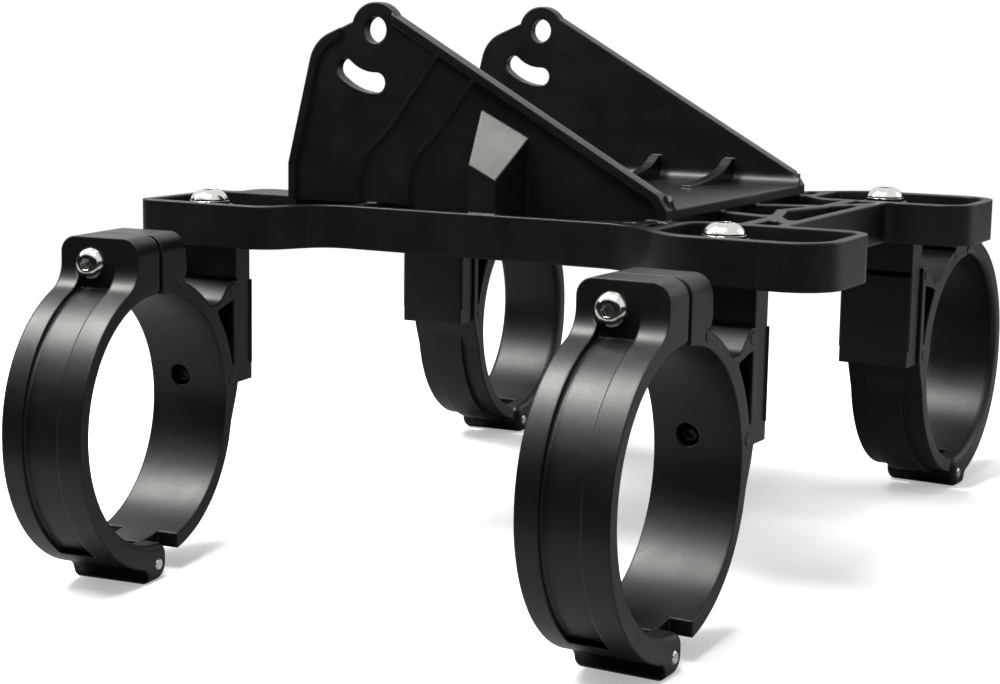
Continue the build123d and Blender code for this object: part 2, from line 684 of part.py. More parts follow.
def truss_plan():
    """Ribs between the floor and the lower cross wall, and the brace at the lower pocket."""
    knot = (LOWER_X - TRUSS_KNOT_BACK, FORK_Y - TRUSS_KNOT_OFFSET)
    waist = (LOWER_X - TRUSS_WAIST_BACK, FORK_Y)
    wall_foot = (LOWER_X + LOWER_CROSS_AHEAD - WALL, FORK_Y - TRUSS_WALL_OFFSET)
    floor_foot = (LOWER_X - TRUSS_FLOOR_BACK, FORK_Y - TRUSS_FLOOR_OFFSET)
    pocket_foot = (LOWER_X - TRUSS_KNOT_BACK, FORK_Y - TRUSS_POCKET_OFFSET)
    plan = rib_between(knot, wall_foot, RIB)
    plan += rib_between(knot, floor_foot, RIB)
    plan += rib_between(knot, pocket_foot, RIB)
    plan += rib_between(knot, waist, RIB)
    brace_start = (LOWER_X - BRACE_BACK, SIDE_WALL_REACH + WALL / 2)
    brace_end = (LOWER_X - LOWER_POCKET_BEHIND, BRACE_REACH)
    return plan + rib_between(brace_start, brace_end, WALL)


def pocket_plan(back, front):
    """A closed pocket's outline between two places along X."""
    plan = sheet(
        (back, POCKET_OUTER_REACH),
        (front, POCKET_OUTER_REACH),
        (front, POCKET_INNER_REACH),
        (back, POCKET_INNER_REACH),
    )
    return fillet(plan.vertices(), POCKET_INNER_CORNER_RADIUS)


def wall_plan():
    """Every wall and rib of the right half that runs the frame's full height."""
    outline = right_plan()
    mirrored = mirror(outline, Plane.XZ.offset(-FORK_Y))
    whole = outline + mirrored
    shell = whole - offset(whole, -WALL)
    half = sheet((-FORK_SPACING, 0), (FORK_SPACING, 0), (FORK_SPACING, FORK_Y), (-FORK_SPACING, FORK_Y))
    walls = shell & half
    lower_pocket = pocket_plan(LOWER_X - LOWER_POCKET_BEHIND, LOWER_X + POCKET_AHEAD)
    lower_wall = lower_pocket - offset(lower_pocket, -WALL)
    walls += lower_wall & outline
    fin_foot = FORK_Y - FIN_FACE_OFFSET
    deck_wall = sheet(
        (UPPER_X - UPPER_POCKET_BEHIND, POCKET_INNER_REACH - WALL),
        (UPPER_X + UPPER_CROSS_AHEAD, POCKET_INNER_REACH - WALL),
        (UPPER_X + UPPER_CROSS_AHEAD, POCKET_INNER_REACH),
        (UPPER_X - UPPER_POCKET_BEHIND, POCKET_INNER_REACH),
    )
    fin_wall = sheet(
        (UPPER_X + UPPER_CROSS_AHEAD, fin_foot - FIN_THICKNESS),
        (LOWER_X - LOWER_POCKET_BEHIND + WALL, fin_foot - FIN_THICKNESS),
        (LOWER_X - LOWER_POCKET_BEHIND + WALL, fin_foot),
        (UPPER_X + UPPER_CROSS_AHEAD, fin_foot),
    )
    upper_cross = UPPER_X + UPPER_CROSS_AHEAD
    cross_stub = sheet(
        (upper_cross, fin_foot - FIN_THICKNESS),
        (upper_cross + WALL, fin_foot - FIN_THICKNESS),
        (upper_cross + WALL, FORK_Y),
        (upper_cross, FORK_Y),
    )
    walls += (deck_wall + fin_wall + cross_stub) & outline
    for back in FLOOR_RIB_BACKS:
        x = LOWER_X - back
        walls += sheet((x, SIDE_WALL_REACH), (x + RIB, SIDE_WALL_REACH), (x + RIB, FORK_Y), (x, FORK_Y))
    walls += truss_plan() & outline
    return softened(walls, RIB_FILLET)


def pocket_floors():
    """Flat floors of the two right pockets, with a boss for the screw in each."""
    outline = right_plan()
    lower_reach = sheet(
        (LOWER_X - LOWER_POCKET_BEHIND, 0),
        (LOWER_X + POCKET_AHEAD, 0),
        (LOWER_X + POCKET_AHEAD, POCKET_INNER_REACH),
        (LOWER_X - LOWER_POCKET_BEHIND, POCKET_INNER_REACH),
    )
    upper_reach = sheet(
        (UPPER_X - UPPER_POCKET_BEHIND, 0),
        (UPPER_X + POCKET_AHEAD, 0),
        (UPPER_X + POCKET_AHEAD, POCKET_INNER_REACH),
        (UPPER_X - UPPER_POCKET_BEHIND, POCKET_INNER_REACH),
    )
    fin_foot = FORK_Y - FIN_FACE_OFFSET
    bay = sheet(
        (UPPER_X + UPPER_CROSS_AHEAD + WALL, fin_foot),
        (UPPER_X + POCKET_AHEAD, fin_foot),
        (UPPER_X + POCKET_AHEAD, POCKET_INNER_REACH),
        (UPPER_X + UPPER_CROSS_AHEAD + WALL, POCKET_INNER_REACH),
    )
    floors = raised(outline & (lower_reach + upper_reach - bay), POCKET_FLOOR)
    boss = raised(Circle(BOSS_RADIUS), POCKET_FLOOR + BOSS_HEIGHT)
    for x in (LOWER_X, UPPER_X):
        floors += Pos(x, POCKET_SCREW_REACH, 0) * boss
    return Pos(0, 0, FRAME_BOTTOM) * floors


def deck():
    """Flat lobe beside the upper pocket, closed at the top."""
    plan = sheet(
        (UPPER_X - UPPER_POCKET_BEHIND, POCKET_INNER_REACH - WALL),
        (UPPER_X + UPPER_CROSS_AHEAD + WALL, POCKET_INNER_REACH - WALL),
        (UPPER_X + UPPER_CROSS_AHEAD + WALL, DECK_INNER_REACH),
        (UPPER_X - UPPER_POCKET_BEHIND, DECK_INNER_REACH),
    )
    lobe = raised(plan & right_plan(), DECK_THICKNESS)
    return Pos(0, 0, FRAME_TOP - DECK_THICKNESS) * lobe


def fin_point(back, height):
    """A point of the fin's side view, from its distance behind the lower clamps."""
    return (LOWER_X - back, height)


def slope_point(back):
    """A point on the fin's long slope."""
    angle = math.radians(FIN_SLOPE_DEGREES)
    return fin_point(back, FIN_TOE_HEIGHT + (back - FIN_TOE_BACK) * math.tan(angle))


def fin_plate(bottom):
    """Side view of a fin down to a height, without its lug and holes."""
    shoulder = fin_point(FIN_SHOULDER_BACK, FIN_SHOULDER_HEIGHT)
    plate = sheet(
        fin_point(FIN_BASE_BACK, bottom),
        fin_point(FIN_SIDE_BACK, FIN_SIDE_HEIGHT),
        shoulder,
        fin_point(FIN_CREST_BACK, FIN_CREST_HEIGHT),
        fin_point(LUG_BACK, LUG_HEIGHT),
        slope_point(LUG_BACK),
        slope_point(FIN_TOE_BACK),
        fin_point(FLOOR_FRONT_BACK, FLOOR_TOP),
        fin_point(FLOOR_FRONT_BACK, bottom),
    )
    return fillet(plate.vertices().sort_by_distance(shoulder)[0], FIN_SHOULDER_RADIUS)


def arc_slot():
    """Curved slot around the fin's pivot hole."""
    start = math.radians(SLOT_START_DEGREES)
    end = math.radians(SLOT_START_DEGREES + SLOT_SWEEP_DEGREES)
    band = Circle(SLOT_ARC_RADIUS + SLOT_WIDTH / 2) - Circle(SLOT_ARC_RADIUS - SLOT_WIDTH / 2)
    far = 2 * SLOT_ARC_RADIUS
    wedge = sheet(
        (0, 0),
        (far * math.cos(start), far * math.sin(start)),
        (far * math.cos(end), far * math.sin(end)),
    )
    slot = band & wedge
    for angle in (start, end):
        place = Pos(SLOT_ARC_RADIUS * math.cos(angle), SLOT_ARC_RADIUS * math.sin(angle))
        slot += place * Circle(SLOT_WIDTH / 2)
    return Pos(*fin_point(LUG_BACK, LUG_HEIGHT)) * slot


def ridge_area(shift):
    """The part of the fin's side view that lies behind a ridge line moved ahead by a shift."""
    line = [fin_point(back - shift, height) for back, height in RIDGE_LINE]
    far = FIN_BASE_BACK + FORK_SPACING / 2
    highest = RIDGE_LINE[-1][1]
    lowest = RIDGE_LINE[0][1]
    return sheet((line[0][0], 0), (line[0][0], lowest), *line[1:], fin_point(far, highest), fin_point(far, 0))


def upright(face, y_inner, y_outer):
    """A face drawn in X and Z, thickened between two places along Y."""
    return extrude(Plane.XZ.offset(-y_inner) * face, y_inner - y_outer, dir=(0, -1, 0))


def fin_step(outline, shift, start, depth):
    """One raised area of the fin's outer face, with a slanted edge along its ridge."""
    block = upright(ridge_area(shift), start, start - depth)
    crown = block.faces().sort_by(Axis.Y)[0].edges()
    return chamfer(crown, FIN_STEP_CHAMFER) & upright(outline, start, start - depth)


def fin():
    """Triangular side plate with a raised border, stepped outer face, pivot hole and arc slot."""
    inner = FORK_Y - FIN_FACE_OFFSET
    lug_place = Pos(*fin_point(LUG_BACK, LUG_HEIGHT))
    outline = fin_plate(FRAME_TOP) + lug_place * Circle(LUG_RADIUS)
    body = upright(outline, inner, inner - FIN_THICKNESS)
    for step, shift in enumerate((RIDGE_SPACING, 0)):
        body += fin_step(outline, shift, inner - FIN_THICKNESS - step * FIN_STEP, FIN_STEP)
    deep = fin_plate(0)
    below = sheet(
        fin_point(FIN_BASE_BACK + FLANGE_RIM, 0),
        fin_point(0, 0),
        fin_point(0, FRAME_TOP),
        fin_point(FIN_BASE_BACK + FLANGE_RIM, FRAME_TOP),
    )
    gap = sheet(
        fin_point(SIDE_RIM_END_BACK, SIDE_RIM_END_HEIGHT),
        fin_point(SIDE_RIM_END_BACK, LUG_HEIGHT + 2 * LUG_RADIUS),
        fin_point(FLANGE_START_BACK, LUG_HEIGHT + 2 * LUG_RADIUS),
        fin_point(FLANGE_START_BACK, SIDE_RIM_END_HEIGHT),
    )
    rim = deep - offset(deep, -FLANGE_RIM) - below - gap
    body += upright(rim, inner, inner - FLANGE_DEPTH)
    hole = lug_place * Circle(LUG_HOLE_RADIUS)
    return body - upright(hole + arc_slot(), inner, inner - FLANGE_DEPTH)


def post():
    """Tapered post outside the fin, with a slanted facet on its top."""
    outer = FORK_Y - POST_TIP_OFFSET
    inner = FORK_Y - FIN_FACE_OFFSET - FIN_THICKNESS / 2
    plan = sheet(
        (LOWER_X - POST_BACK, inner),
        (LOWER_X - POST_TIP_BACK, outer),
        (LOWER_X - POST_TIP_FRONT, outer),
        (LOWER_X - POST_FRONT, inner),
    )
    column = Pos(0, 0, FRAME_BOTTOM) * raised(plan, POST_TOP_BACK - FRAME_BOTTOM)
    facet = Plane(
        origin=(LOWER_X - POST_BACK, inner, POST_TOP_BACK),
        x_dir=(POST_BACK - POST_FRONT, 0, POST_TOP_FRONT - POST_TOP_BACK),
        z_dir=Vector(POST_BACK - POST_FRONT, 0, POST_TOP_FRONT - POST_TOP_BACK).cross(
            Vector(0, inner - outer, POST_TIP_DROP)
        ),
    )
    return split(column, facet, keep=Keep.BOTTOM)


def floor_gusset(back):
    """Low rib on the floor that climbs the foot of a fin in a hollow curve."""
    inner = FORK_Y - FIN_FACE_OFFSET
    end_reach = GUSSET_CURVE[-1][0]
    profile = sheet((0, 0), *GUSSET_CURVE, (end_reach, 0))
    rib = extrude(Plane.YZ * profile, GUSSET_THICKNESS / 2, both=True)
    return Pos(LOWER_X - back, inner, FLOOR_TOP) * rib


def floor():
    """Floor between the fins, with a hollow fillet along the fin's foot and its low ribs."""
    inner = FORK_Y - FIN_FACE_OFFSET
    back = LOWER_X - FIN_BASE_BACK
    front = LOWER_X - FLOOR_FRONT_BACK
    slab = box((back, front), (inner - FIN_THICKNESS, FORK_Y), (FRAME_TOP, FLOOR_TOP))
    corner = sheet((0, 0), (FLOOR_CORNER_FILLET, 0), (0, FLOOR_CORNER_FILLET))
    corner -= Pos(FLOOR_CORNER_FILLET, FLOOR_CORNER_FILLET) * Circle(FLOOR_CORNER_FILLET)
    slab += Pos(back, inner, FLOOR_TOP) * extrude(Plane.YZ * corner, front - back, dir=(1, 0, 0))
    for place in GUSSET_BACKS:
        slab += floor_gusset(place)
    mark = Cylinder(EJECTOR_MARK_RADIUS, 2 * EJECTOR_MARK_DEPTH)
    return slab - Pos(LOWER_X - EJECTOR_MARK_BACK, FORK_Y - EJECTOR_MARK_OFFSET, FLOOR_TOP) * mark


def right_half_frame():
    """Everything of the frame on the right of its middle line."""
    half = Pos(0, 0, FRAME_BOTTOM) * raised(wall_plan(), WALL_HEIGHT)
    half += pocket_floors()
    half += deck()
    half += floor()
    half += fin()
    half += post()
    for x in (LOWER_X, UPPER_X):
        hole = Cylinder(POCKET_SCREW_HOLE_RADIUS, 2 * WALL_HEIGHT)
        half -= Pos(x, POCKET_SCREW_REACH, FRAME_BOTTOM) * hole
    return half


def frame():
    """The whole moulding: the right half and its mirror image."""
    half = Pos(0, -FORK_Y, 0) * right_half_frame()
    return half + mirror(half, Plane.XZ)


def to_corner(shape, side, x, turn):
    """A piece drawn at the fork axis, moved to its corner and turned about that corner's pocket screw."""
    placed = Pos(x, -FORK_Y, AXIS_HEIGHT) * shape
    screw_y = POCKET_SCREW_REACH - FORK_Y
    if side == "left":
        placed = mirror(placed, Plane.XZ)
        screw_y = -screw_y
    return Pos(x, screw_y, 0) * Rot(0, 0, turn) * Pos(-x, -screw_y, 0) * placed


def main():
    """Writes every piece to its own file."""
    os.makedirs("parts", exist_ok=True)
    export_step(Pos(0, 0, AXIS_HEIGHT) * frame(), "parts/frame.step")
    corner_pieces = {
        "leg": leg(),
        "clamp_base": clamp_base(),
        "clamp_cap": clamp_cap(),
        "hinge_pin": hinge_pin(),
        "clamp_screw": clamp_screw(),
        "clamp_insert": clamp_insert(),
        "leg_bolt": leg_bolt(),
        "leg_insert": leg_insert(),
        "pocket_screw": pocket_screw(),
        "pocket_washer": pocket_washer(),
    }
    for side, end, x, turn in CORNERS:
        for name, piece in corner_pieces.items():
            export_step(to_corner(piece, side, x, turn), f"parts/{side}_{end}_{name}.step")


main()
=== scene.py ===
import json
import math

import bpy
from mathutils import Matrix, Vector


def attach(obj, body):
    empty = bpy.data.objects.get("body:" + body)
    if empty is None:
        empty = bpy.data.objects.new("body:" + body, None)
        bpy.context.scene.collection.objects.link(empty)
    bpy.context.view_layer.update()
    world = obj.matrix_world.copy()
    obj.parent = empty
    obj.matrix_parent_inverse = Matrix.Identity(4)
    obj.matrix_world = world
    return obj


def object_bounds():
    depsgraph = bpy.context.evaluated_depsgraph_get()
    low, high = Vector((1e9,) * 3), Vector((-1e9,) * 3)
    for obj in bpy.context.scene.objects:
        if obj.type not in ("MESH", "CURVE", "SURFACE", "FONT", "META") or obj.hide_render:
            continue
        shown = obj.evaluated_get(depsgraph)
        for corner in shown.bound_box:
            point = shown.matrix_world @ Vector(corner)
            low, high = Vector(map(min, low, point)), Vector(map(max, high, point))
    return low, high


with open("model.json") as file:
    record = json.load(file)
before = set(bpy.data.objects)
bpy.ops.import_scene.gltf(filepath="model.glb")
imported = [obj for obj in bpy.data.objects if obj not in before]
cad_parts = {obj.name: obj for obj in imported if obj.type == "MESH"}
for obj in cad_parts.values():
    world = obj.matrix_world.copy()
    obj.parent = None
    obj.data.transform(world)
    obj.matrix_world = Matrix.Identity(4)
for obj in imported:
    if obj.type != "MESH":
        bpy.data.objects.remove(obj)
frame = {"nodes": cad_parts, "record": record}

bl_info = {
    "name": "Fork Bracket Finish",
    "version": (1, 0, 0),
    "blender": (4, 5, 0),
    "location": "3D View > Sidebar > Fork Bracket",
    "description": "Gives the headlight bracket its finishes, its ejector marks and its stage",
    "category": "Object",
}

MM = 0.001
WHITE = (1.0, 1.0, 1.0)

# A clamp base along its bore, as in the CAD source
CLAMP_WIDTH_MM = 21.0

# Across from the bore's axis towards the leg, and up, for each mark on a clamp base
EJECTOR_PLACES_MM = ((9.7, 31.1), (34.0, 27.4), (33.2, 4.9))

# A mark's flat top is this share of its radius, and its soft rim starts at this share of its height
MARK_TOP_SHARE = 0.9
MARK_RIM_SHARE = 0.5
MARK_CORNERS = 28

# Roughness of each turned metal at its cleanest and at its most tarnished
STEEL_ROUGHNESS = (0.1, 0.19)
BLACKENED_ROUGHNESS = (0.3, 0.45)
BRASS_ROUGHNESS = (0.25, 0.4)
TARNISH_SHADE = 0.72

# Each lamp's direction from the bracket's middle, distance, width and length in metres, watts and colour
LAMPS = {
    "key_softbox": ((0.04, -0.49, 0.87), 0.9, (0.35, 0.4), 9.0, (1.0, 0.97, 0.92)),
    "ring_softbox": ((-0.47, -0.30, 0.83), 0.9, (0.34, 0.34), 12.0, (1.0, 0.97, 0.93)),
    "left_softbox": ((-0.85, -0.30, 0.62), 1.0, (0.3, 0.5), 2.2, WHITE),
    "right_softbox": ((0.75, 0.65, 0.3), 0.9, (0.5, 0.7), 1.2, WHITE),
}

# How pale each cloth is, then each card's cloth and two opposite corners in metres
CLOTHS = {"dark_card": 0.012, "grey_card": 0.3}
CARDS = {
    "floor_card": ("dark_card", (-1.6, -1.3, 0.0004), (1.3, -0.22, 0.0004)),
    "under_card": ("grey_card", (-1.6, -0.22, 0.0004), (1.3, 1.6, 0.0004)),
    "front_card": ("dark_card", (-1.6, -1.3, 0.0), (1.2, -1.3, 0.9)),
    "left_card": ("dark_card", (-1.3, -1.3, 0.0), (-1.3, 0.1, 0.5)),
    "right_card": ("dark_card", (1.3, -1.3, 0.0), (1.3, 1.6, 0.45)),
    "back_card": ("dark_card", (-1.3, 1.6, 0.0), (1.3, 1.6, 0.35)),
}

# Half the floor's width in metres
FLOOR_REACH = 6.0

# The floor is plain white from this many times the shadow's reach
FADE_END = 2.2

SENSOR_WIDTH_MM = 36.0
CLIP_START = 0.01
CLIP_END = 20.0

NODES = frame["nodes"]
SLOT_OF = {part["node"]: part["material_slot"] for part in frame["record"]["subparts"]}
CAD_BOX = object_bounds()


class NodeBoard:
    """Short hand for building a material's node tree."""

    def __init__(self, tree):
        self.tree = tree
        tree.nodes.clear()

    def add(self, kind, inputs=None, **settings):
        node = self.tree.nodes.new(kind)
        for name, value in settings.items():
            setattr(node, name, value)
        for name, value in (inputs or {}).items():
            socket = node.inputs[name]
            if isinstance(value, bpy.types.NodeSocket):
                self.tree.links.new(value, socket)
            else:
                socket.default_value = value
        return node


class BracketLooks(bpy.types.PropertyGroup):
    """Colours and grain sizes of the bracket's finishes."""

    plastic_colour: bpy.props.FloatVectorProperty(
        name="Moulding colour", description="Colour of the black moulded nylon", subtype="COLOR",
        size=3, min=0.0, max=1.0, default=(0.0014, 0.00135, 0.0012),
    )
    plastic_bloom: bpy.props.FloatVectorProperty(
        name="Bloom colour", description="Paler colour of the glass fibre at the moulding's skin",
        subtype="COLOR", size=3, min=0.0, max=1.0, default=(0.008, 0.0075, 0.0066),
    )
    grain_size: bpy.props.FloatProperty(
        name="Grain size", description="Distance between the fine grains of the moulded skin",
        unit="LENGTH", default=0.00027, min=0.00005, max=0.01, precision=5,
    )
    grain_depth: bpy.props.FloatProperty(
        name="Grain depth", description="How deep the fine grains look", unit="LENGTH",
        default=0.00004, min=0.0, max=0.001, precision=5,
    )
    edge_radius: bpy.props.FloatProperty(
        name="Edge radius", description="How far the moulding's edges look rounded", unit="LENGTH",
        default=0.0008, min=0.0, max=0.005, precision=5,
    )
    steel_colour: bpy.props.FloatVectorProperty(
        name="Steel colour", description="Colour of the screws and pins", subtype="COLOR",
        size=3, min=0.0, max=1.0, default=(0.78, 0.765, 0.74),
    )
    mark_radius: bpy.props.FloatProperty(
        name="Mark radius", description="Radius of the ejector marks", unit="LENGTH",
        default=0.0015, min=0.0001, precision=5,
    )
    mark_height: bpy.props.FloatProperty(
        name="Mark height", description="How far the ejector marks stand proud", unit="LENGTH",
        default=0.00012, min=0.00001, precision=5,
    )
    blackened_colour: bpy.props.FloatVectorProperty(
        name="Blackened colour", description="Colour of the blackened bolts in the bores", subtype="COLOR",
        size=3, min=0.0, max=1.0, default=(0.05, 0.049, 0.048),
    )
    brass_colour: bpy.props.FloatVectorProperty(
        name="Brass colour", description="Colour of the threaded inserts", subtype="COLOR",
        size=3, min=0.0, max=1.0, default=(0.72, 0.52, 0.25),
    )


class StageLooks(bpy.types.PropertyGroup):
    """Camera, surrounding light and floor."""

    azimuth: bpy.props.FloatProperty(
        name="Azimuth", description="Camera's angle round the bracket", subtype="ANGLE",
        default=math.radians(28.65),
    )
    elevation: bpy.props.FloatProperty(
        name="Elevation", description="Camera's angle above the horizon", subtype="ANGLE",
        default=math.radians(8.98),
    )
    roll: bpy.props.FloatProperty(
        name="Roll", description="Camera's tilt about its line of sight", subtype="ANGLE",
        default=math.radians(0.80),
    )
    eye: bpy.props.FloatVectorProperty(
        name="Eye", description="Where the camera stands", subtype="TRANSLATION", unit="LENGTH",
        size=3, default=(0.22393, -0.47091, 0.13340),
    )
    lens: bpy.props.FloatProperty(
        name="Lens", description="Focal length on a 36 mm sensor", unit="CAMERA",
        default=71.6, min=10.0, max=500.0,
    )
    shift: bpy.props.FloatVectorProperty(
        name="Shift", description="Picture centre's offset as a share of its width", size=2,
        default=(0.0280, -0.0057),
    )
    floor_glow: bpy.props.FloatProperty(
        name="Floor glow", description="How much the floor adds to its own colour for the eye",
        default=0.35, min=0.0,
    )
    world_light: bpy.props.FloatProperty(
        name="World light", description="Strength of the surroundings as light on the bracket",
        default=0.4, min=0.0,
    )
    shadow_reach: bpy.props.FloatProperty(
        name="Shadow reach", description="How far from the middle the floor still takes a shadow",
        unit="LENGTH", default=0.26, min=0.01,
    )
    floor_colour: bpy.props.FloatVectorProperty(
        name="Floor colour", description="Colour of the floor", subtype="COLOR",
        size=3, min=0.0, max=1.0, default=(0.86, 0.86, 0.86),
    )


def new_material(name):
    """A material with an empty node tree."""
    material = bpy.data.materials.new(name)
    material.use_nodes = True
    return material, NodeBoard(material.node_tree)


def shown_rays(board):
    """One for the rays that show a background: the eye's, and those seen in gloss or through glass."""
    path = board.add("ShaderNodeLightPath").outputs
    seen = join(board, path["Is Camera Ray"], path["Is Glossy Ray"], "MAXIMUM")
    return join(board, seen, path["Is Transmission Ray"], "MAXIMUM")


def spread(board, value, low, high, target_low, target_high):
    """Maps a value from one range to another."""
    inputs = {"Value": value, "From Min": low, "From Max": high, "To Min": target_low, "To Max": target_high}
    return board.add("ShaderNodeMapRange", inputs).outputs["Result"]


def join(board, first, second, operation):
    """Makes one value from two, by the sum that is named."""
    return board.add("ShaderNodeMath", {0: first, 1: second}, operation=operation).outputs["Value"]


def finish_material(board, shader):
    """Joins the shader to the material's output."""
    board.add("ShaderNodeOutputMaterial", {"Surface": shader.outputs["BSDF"]})


def moulded_nylon(looks):
    """Black satin nylon with fine grain, faint flow marks and soft edges."""
    material, board = new_material("moulded_nylon")
    place = board.add("ShaderNodeTexCoord").outputs["Object"]
    grain = board.add(
        "ShaderNodeTexNoise",
        {"Vector": place, "Scale": 1.0 / looks.grain_size, "Detail": 2.0, "Roughness": 0.55},
    ).outputs["Fac"]
    specks = board.add(
        "ShaderNodeTexVoronoi", {"Vector": place, "Scale": 0.8 / looks.grain_size, "Randomness": 1.0}
    ).outputs["Distance"]
    cloud = board.add(
        "ShaderNodeTexNoise",
        {"Vector": place, "Scale": 90.0, "Detail": 5.0, "Roughness": 0.6, "Distortion": 0.6},
    ).outputs["Fac"]
    flow = board.add(
        "ShaderNodeTexNoise",
        {"Vector": place, "Scale": 22.0, "Detail": 3.0, "Roughness": 0.5, "Distortion": 1.2},
    ).outputs["Fac"]
    bloom = join(board, spread(board, specks, 0.0, 0.32, 0.75, 0.0), cloud, "MULTIPLY")
    colour = board.add(
        "ShaderNodeMix",
        {"Factor": bloom, "A": (*looks.plastic_colour, 1.0), "B": (*looks.plastic_bloom, 1.0)},
        data_type="RGBA",
    )
    grain_roughness = spread(board, grain, 0.3, 0.7, -0.05, 0.05)
    cloud_roughness = spread(board, cloud, 0.25, 0.75, 0.33, 0.43)
    flow_roughness = spread(board, flow, 0.3, 0.7, -0.03, 0.03)
    roughness = join(board, join(board, grain_roughness, cloud_roughness, "ADD"), flow_roughness, "ADD")
    edge = board.add("ShaderNodeBevel", {"Radius": looks.edge_radius}, samples=8).outputs["Normal"]
    relief = board.add(
        "ShaderNodeBump", {"Strength": 0.35, "Distance": looks.grain_depth, "Height": grain, "Normal": edge}
    )
    shader = board.add(
        "ShaderNodeBsdfPrincipled",
        {
            "Base Color": colour.outputs["Result"],
            "Roughness": roughness,
            "IOR": 1.45,
            "Specular IOR Level": 0.38,
            "Normal": relief.outputs["Normal"],
        },
    )
    finish_material(board, shader)
    return material


def turned_metal(name, tint, roughness):
    """Metal with fine turning marks and a little tarnish."""
    material, board = new_material(name)
    place = board.add("ShaderNodeTexCoord").outputs["Object"]
    stretch = board.add("ShaderNodeMapping", {"Vector": place, "Scale": (400.0, 9000.0, 9000.0)})
    marks = board.add(
        "ShaderNodeTexNoise", {"Vector": stretch.outputs["Vector"], "Scale": 1.0, "Detail": 3.0}
    ).outputs["Fac"]
    tarnish = board.add(
        "ShaderNodeTexNoise", {"Vector": place, "Scale": 500.0, "Detail": 4.0, "Roughness": 0.6}
    ).outputs["Fac"]
    dark = tuple(TARNISH_SHADE * level for level in tint)
    colour = board.add(
        "ShaderNodeMix", {"Factor": tarnish, "A": (*tint, 1.0), "B": (*dark, 1.0)}, data_type="RGBA",
    )
    edge = board.add("ShaderNodeBevel", {"Radius": 0.00015}, samples=4).outputs["Normal"]
    relief = board.add(
        "ShaderNodeBump", {"Strength": 0.2, "Distance": 0.00001, "Height": marks, "Normal": edge}
    )
    shader = board.add(
        "ShaderNodeBsdfPrincipled",
        {
            "Base Color": colour.outputs["Result"],
            "Metallic": 1.0,
            "Roughness": spread(board, tarnish, 0.3, 0.7, *roughness),
            "Normal": relief.outputs["Normal"],
        },
    )
    finish_material(board, shader)
    return material


def give_finish(slot, material):
    """Puts one finish on every CAD piece of a material slot."""
    for name, piece in NODES.items():
        if SLOT_OF[name] == slot:
            piece.data.materials.clear()
            piece.data.materials.append(material)


class OBJECT_OT_finish_mouldings(bpy.types.Operator):
    """Gives the frame, the legs and the clamps their black moulded skin"""

    bl_idname = "object.finish_mouldings"
    bl_label = "Finish the mouldings"

    def execute(self, context):
        give_finish("moulded_black", moulded_nylon(context.scene.bracket_looks))
        return {"FINISHED"}


class OBJECT_OT_finish_bright_steel(bpy.types.Operator):
    """Gives the clamp screws, pocket screws, washers and hinge pins their bright steel"""

    bl_idname = "object.finish_bright_steel"
    bl_label = "Finish the bright steel"

    def execute(self, context):
        tint = tuple(context.scene.bracket_looks.steel_colour)
        give_finish("steel_fasteners", turned_metal("turned_steel", tint, STEEL_ROUGHNESS))
        return {"FINISHED"}


class OBJECT_OT_finish_leg_bolts(bpy.types.Operator):
    """Gives the bolts inside the bores their blackened steel"""

    bl_idname = "object.finish_leg_bolts"
    bl_label = "Finish the leg bolts"

    def execute(self, context):
        tint = tuple(context.scene.bracket_looks.blackened_colour)
        give_finish("blackened_bolts", turned_metal("blackened_steel", tint, BLACKENED_ROUGHNESS))
        return {"FINISHED"}


class OBJECT_OT_finish_inserts(bpy.types.Operator):
    """Gives the threaded inserts their brass"""

    bl_idname = "object.finish_inserts"
    bl_label = "Finish the inserts"

    def execute(self, context):
        tint = tuple(context.scene.bracket_looks.brass_colour)
        give_finish("brass_inserts", turned_metal("turned_brass", tint, BRASS_ROUGHNESS))
        return {"FINISHED"}


def clamp_place(mount, side):
    """Where a clamp's drawing lies: X along its bore, Y towards its leg and Z up."""
    heading = Vector(mount["axis"])
    if heading.x < 0:
        heading = -heading
    up = Vector((0.0, 0.0, 1.0))
    inboard = up.cross(heading) * (1.0 if side == "right" else -1.0)
    turn = Matrix((heading, inboard, up)).transposed().to_4x4()
    return Matrix.Translation(Vector(mount["pos_m"])) @ turn


def round_mark(name, radius, height):
    """A flat round mark that stands a little proud, with a soft edge, built along X from the origin."""
    steps = MARK_CORNERS
    rings = [(radius, 0.0), (radius, MARK_RIM_SHARE * height), (MARK_TOP_SHARE * radius, height)]
    points = []
    for ring, out in rings:
        for step in range(steps):
            angle = math.tau * step / steps
            points.append((out, ring * math.cos(angle), ring * math.sin(angle)))
    faces = [tuple(range(steps))[::-1], tuple(range(2 * steps, 3 * steps))]
    for row in range(len(rings) - 1):
        for step in range(steps):
            ahead = (step + 1) % steps
            low, high = row * steps, (row + 1) * steps
            faces.append((low + step, low + ahead, high + ahead, high + step))
    mesh = bpy.data.meshes.new(name)
    mesh.from_pydata(points, [], faces)
    mesh.validate()
    return mesh


class OBJECT_OT_ejector_marks(bpy.types.Operator):
    """Adds the three round ejector marks on the lower face of every clamp base"""

    bl_idname = "object.ejector_marks"
    bl_label = "Add the ejector marks"

    def execute(self, context):
        looks = context.scene.bracket_looks
        skin = NODES["right_lower_clamp_base"].data.materials[0]
        face = CLAMP_WIDTH_MM / 2 * MM
        for mount in frame["record"]["mounts"]:
            if mount["kind"] != "clamp":
                continue
            side, end = mount["name"].split("_")[:2]
            for count, (y, z) in enumerate(EJECTOR_PLACES_MM):
                name = f"{side}_{end}_ejector_mark_{count}"
                mesh = round_mark(name, looks.mark_radius, looks.mark_height)
                mesh.materials.append(skin)
                mark = bpy.data.objects.new(name, mesh)
                context.scene.collection.objects.link(mark)
                mark.matrix_world = clamp_place(mount, side) @ Matrix.Translation((face, y * MM, z * MM))
                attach(mark, "bracket")
        return {"FINISHED"}


